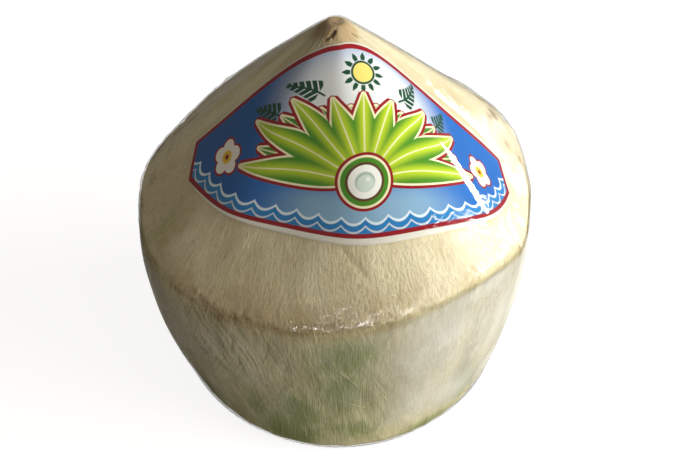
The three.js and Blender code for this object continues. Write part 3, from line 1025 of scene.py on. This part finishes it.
filmPlan = {
    "columns": 480,
    "rows": [(6, 7), (84, 38), (102, 18), (150, 21), (166, 12), (186, 5)],
    "lift": 0.36, "labelLift": 0.76, "thickness": 0.1, "leastHeight": 0.15,
    "ripple": 0.09, "rippleSize": 7.0,
    "pleatCount": 120, "pleatDepth": 0.16, "pleatPatchSize": 30.0, "pleatWanderSize": 22.0,
    # each spot: angle, run, half width, half length, strength
    "crumpleSpots": [
        (-94, 92.2, 2.6, 1.7, 1.2), (-90, 90.8, 2.8, 1.9, 1.2), (-80, 94, 4.6, 2.2, 1.1),
        (-69, 92.4, 3.6, 2.5, 1.3), (-63, 90, 4.8, 3.2, 1.3), (-104, 94.5, 2.4, 1.5, 0.5),
        (-86, 82, 30, 11, 0.08), (24, 78, 8, 10, 0.9), (8, 84, 8, 8, 0.7), (100, 94, 20, 3, 0.6),
    ],
    "labelCrumples": [
        (-57, 73.6, 5, 2.6, 1.3), (-50.5, 75.6, 4, 2.4, 1.2), (-33.8, 73.5, 2.2, 2, 0.25),
    ],
    # milky patches in the film: the ones on the lit side also paint bounce light on the wall, and the one on
    # the shaded left paints a pale rim of light
    "hazeAndPaintedLightSpots": [
        (-62, 118, 17, 26, 1.0), (-38, 124, 20, 34, 0.9), (-66, 146, 12, 20, 0.8),
        (-54, 152, 18, 14, 0.9), (-14, 118, 26, 34, 1.8), (-24, 156, 20, 14, 1.4),
        (-50, 99.5, 34, 9, 0.95), (-156, 122, 22, 30, 0.8),
        (60, 120, 14, 20, 0.6), (120, 112, 18, 16, 0.6), (170, 124, 14, 22, 0.4),
    ],
    "tightSpots": [
        (-45, 86, 26, 12, 1.0), (-62, 88, 12, 9, 0.9), (-85, 92, 26, 5, 0.6),
        (10, 84, 22, 10, 0.8), (150, 82, 24, 12, 0.8), (80, 86, 26, 9, 0.6),
    ],
    "folds": [  # the ends of each fold, its half width and its height
        ((-30.5, 50), (-34.5, 75), 1.15, 0.085), ((-60.5, 73), (-54, 77), 0.7, 0.35),
        ((31, 69), (13, 86), 3.6, 0.9), ((18, 78), (-8, 93), 5.0, 1.2),
        ((150, 60), (170, 90), 3.0, 0.7), ((96, 50), (88, 92), 2.4, 0.7),
        ((60, 70), (52, 108), 1.6, 0.6), ((128, 84), (122, 120), 1.4, 0.5),
    ],
    # short folds over the sharp edge: the least and most of each one's angle, turn, start above
    # the edge, length, half width and height
    "shortFolds": 90, "shortFoldSeed": 19,
    "shortFoldLeast": (0, -4, -9, 5, 0.5, 0.12), "shortFoldMost": (360, 4, 0, 14, 0.9, 0.34),
}


def makeFilm():
    # An outer and an inner wall on the same grid, joined round the opening under the base. Each
    # stands off the husk by a clearance, ripples, the folds' ridges, and pleats, which are the
    # size of a sine wave round the base.
    p = filmPlan
    columns = p["columns"]
    angle, run = gridOf(columns, *p["rows"])
    places = placed(angle, run, 0.0)
    covered = overLabel(angle, run, 2.8)
    lift = p["lift"] + (p["labelLift"] - p["lift"]) * covered
    lift = lift + p["ripple"] * layeredNoise(places, p["rippleSize"], 83) * (1 - 0.7 * covered)
    onWall = fade(starts["foot"], starts["crown"], run)
    lift = lift + broadRelief(angle, run) * onWall * (1 - 0.4 * covered)
    draws = np.random.default_rng(p["shortFoldSeed"]).uniform(
        p["shortFoldLeast"], p["shortFoldMost"], (p["shortFolds"], 6))
    shortFolds = [
        ((middle, crease + start), (middle + turn, crease + start + length), halfWidth, height)
        for middle, turn, start, length, halfWidth, height in draws
    ]
    lift = lift + alongLines(angle, run, p["folds"] + shortFolds)
    low = fade(starts["base"] - 8, starts["base"] + 3, run)
    low = low * (0.4 + 0.6 * fade(-0.5, 0.4, softNoise(places, p["pleatPatchSize"], 89)))
    pleatWander = 1.4 * softNoise(places, p["pleatWanderSize"], 97)
    pleats = np.abs(np.sin(angle * p["pleatCount"] / 2 + pleatWander))
    lift = lift + p["pleatDepth"] * low * pleats
    walls = [placed(angle, run, lift + p["thickness"]), placed(angle, run, lift)]
    for wall in walls:
        wall[..., 2] = np.maximum(wall[..., 2], p["leastHeight"])
    rows, count = len(run), len(run) * columns
    topLift = lift[0].mean()
    top = placed(0.0, 0.0, np.array([topLift + p["thickness"], topLift]))
    ring = np.arange(columns)
    last = ring + count - columns
    after = np.roll(last, -1)
    faces = [
        gridFaces(rows, columns), gridFaces(rows, columns, count, True),
        np.stack([last, last + count, after + count, after], -1),
        fanFaces(ring, 2 * count), fanFaces(ring + count, 2 * count + 1, True),
    ]
    loose = 1 - overLabel(angle, run, 1.5)
    # patches of milky film that also paint bounce light and a pale rim
    veil = aroundSpots(angle, run, p["hazeAndPaintedLightSpots"])
    haze = fade(crease - 0.5, crease + 12 - 9 * np.minimum(veil, 1), run)
    crumple = aroundSpots(angle, run, p["crumpleSpots"]) * loose
    masks = streakMasks(angle, run, np.r_[0:count, 0:count, 0, 0])
    for key, values in {
        "wall": haze * fade(starts["base"] + 2, starts["base"] - 12, run),
        "tight": aroundSpots(angle, run, p["tightSpots"]) * loose,
        "veil": veil,
        "hairy": aroundSpots(angle, run, huskPlan["hairs"]),
        "loose": loose,
        "crumple": np.maximum(crumple, aroundSpots(angle, run, p["labelCrumples"])),
    }.items():
        masks[key] = np.r_[values.ravel(), values.ravel(), 0.0, 0.0]
    points = np.concatenate([wall.reshape(-1, 3) for wall in walls] + [top])
    return makePiece("filmWrap", points, faces, masks)


filmPaint = {
    "roughness": 0.07, "tightRoughness": 0.16, "straightGloss": 0.04, "grazingGloss": 0.42,
    "haze": srgb(244, 240, 226), "hazeRoughness": 0.4, "hazeShare": 0.16, "leastHaze": 0.003,
    "crumpleHeight": 4.5,
}


def makeFilmFinish():
    p = filmPaint
    f = Finish(bpy.data.materials.new("clearFilm"))
    place = f.objectPlace()
    wall, tight, hairy, loose, crumple, cloud = f.masks("wall", "tight", "hairy", "loose", "crumple", "veil")
    loose = 0.15 + 0.85 * loose
    fine = f.streaked("grain", 0.09, 0.75, 2.0, 0.55)
    across = f.streaked("pull", 0.08, 1.3)
    crossing = f.streaked("cross", 0.07, 1.2, 1.5)
    ragged = f.streaked("grain", 0.4, 1.3, 2.0, 0.6)
    puckers, pinched = f.noise(place, 4.5, 3.0), f.noise(place, 1.5, 3.0, 0.6)
    height = (0.1 * loose + 0.8 * tight + 0.5 * wall) * fine + 0.7 * wall * across
    height = height + p["crumpleHeight"] * crumple * pinched
    height = height + 0.5 * loose * puckers + (0.1 * loose + 2.0 * tight) * ragged
    normal = f.bump(height, 0.42, 0.8)
    clear = f.node("ShaderNodeBsdfTransparent", {}, {"Color": white})
    gloss = f.node("ShaderNodeBsdfAnisotropic", {}, {
        "Color": white, "Roughness": p["roughness"] + p["tightRoughness"] * tight, "Normal": normal,
    })
    facing = f.node("ShaderNodeLayerWeight", {}, {"Blend": 0.5, "Normal": normal}, "Facing")
    mirror = p["straightGloss"] + (p["grazingGloss"] - p["straightGloss"]) * facing**5  # Schlick's rule
    milky = f.principled({"Base Color": p["haze"], "Roughness": p["hazeRoughness"], "Normal": normal})
    threads = f.threads(across, 0.03).most(f.threads(crossing, 0.03)) * hairy * wall
    stretched = f.rise(across, 0.5, 0.72) * 0.7 + f.rise(fine, 0.55, 0.75) * 0.4
    veil = f.rise(f.streaked("grain", 0.4, 12.0), 0.42, 0.7)
    # milky patches, partly painted light: bounce light on the lit side and a pale rim on the shaded side
    hazeAndLightPatches = cloud * (0.72 + 0.28 * f.rise(f.noise(place, 9.0, 3.0), 0.3, 0.7))
    hazy = (stretched * 0.5 + veil * 0.4 + hazeAndLightPatches * 3.0 + threads * 1.4) * wall * p["hazeShare"]
    return f.shown(f.blended(p["leastHaze"] + hazy, f.blended(mirror, clear, gloss), milky))


finished(makeFilm(), makeFilmFinish(), "film", "film")


fibrePlan = {
    "count": 420, "points": 7, "sides": 3, "seed": 29, "edgeShare": 0.55,
    "radius": (0.05, 0.12), "length": (4.0, 17.0), "lift": 0.12, "slant": (0.12, 0.28), "curl": 0.5,
    "pale": srgb(224, 208, 164), "tan": srgb(176, 148, 98),
}


def makeFibres():
    # Each strand is a small round section carried along a path down the husk. Its middle line
    # starts at a random place, runs on at a random slant with a slow curl, and its radius
    # narrows to both ends as the square root of a hump.
    p = fibrePlan
    rng = np.random.default_rng(p["seed"])
    count, steps, sides = p["count"], p["points"], p["sides"]
    each = (count, 1, 1)
    share = np.linspace(0, 1, steps)[None, :, None]
    hump = 4 * share * (1 - share)
    near = rng.random(each) < p["edgeShare"]
    start = np.where(near, crease + rng.uniform(-2.0, 3.0, each),
                     rng.uniform(crease + 3, starts["base"] - 8, each))
    middle = rng.uniform(0, tau, each)
    length = rng.uniform(*p["length"], each)
    slant = rng.normal(*p["slant"], each)
    curl = rng.normal(0, p["curl"], each)
    run = start + length * share * np.cos(slant)
    angle = middle + (length * share * np.sin(slant) + curl * hump) / girthAt(run)
    radius = rng.uniform(*p["radius"], each) * np.sqrt(np.maximum(hump, 0.02))
    turn = np.arange(sides) * tau / sides
    angle = angle + radius * np.cos(turn) / girthAt(run)
    lift = p["lift"] + radius * np.sin(turn) + broadRelief(angle, run)
    points = placed(angle, run, lift)
    index = np.arange(count * steps * sides).reshape(count, steps, sides)
    beside = np.roll(index, -1, axis=2)
    walls = np.stack([index[:, :-1], index[:, 1:], beside[:, 1:], beside[:, :-1]], -1)
    caps = np.concatenate([index[:, 0, :], index[:, -1, ::-1]])
    return makePiece("huskFibres", points.reshape(-1, 3), [walls.reshape(-1, 4), caps])


def makeFibreFinish():
    f = Finish(bpy.data.materials.new("driedFibre"))
    tone = f.noise(f.objectPlace(), 9.0)
    color = f.laid(fibrePlan["pale"], (f.rise(tone, 0.35, 0.65), fibrePlan["tan"]))
    return f.shown(f.principled({"Base Color": color, "Roughness": 0.6 + 0.2 * tone}))


finished(makeFibres(), makeFibreFinish(), "husk")

rowOf = lambda box: [[float(v) for v in corner] for corner in box]
{"cad": rowOf(cadBox), "visual": rowOf(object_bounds())}
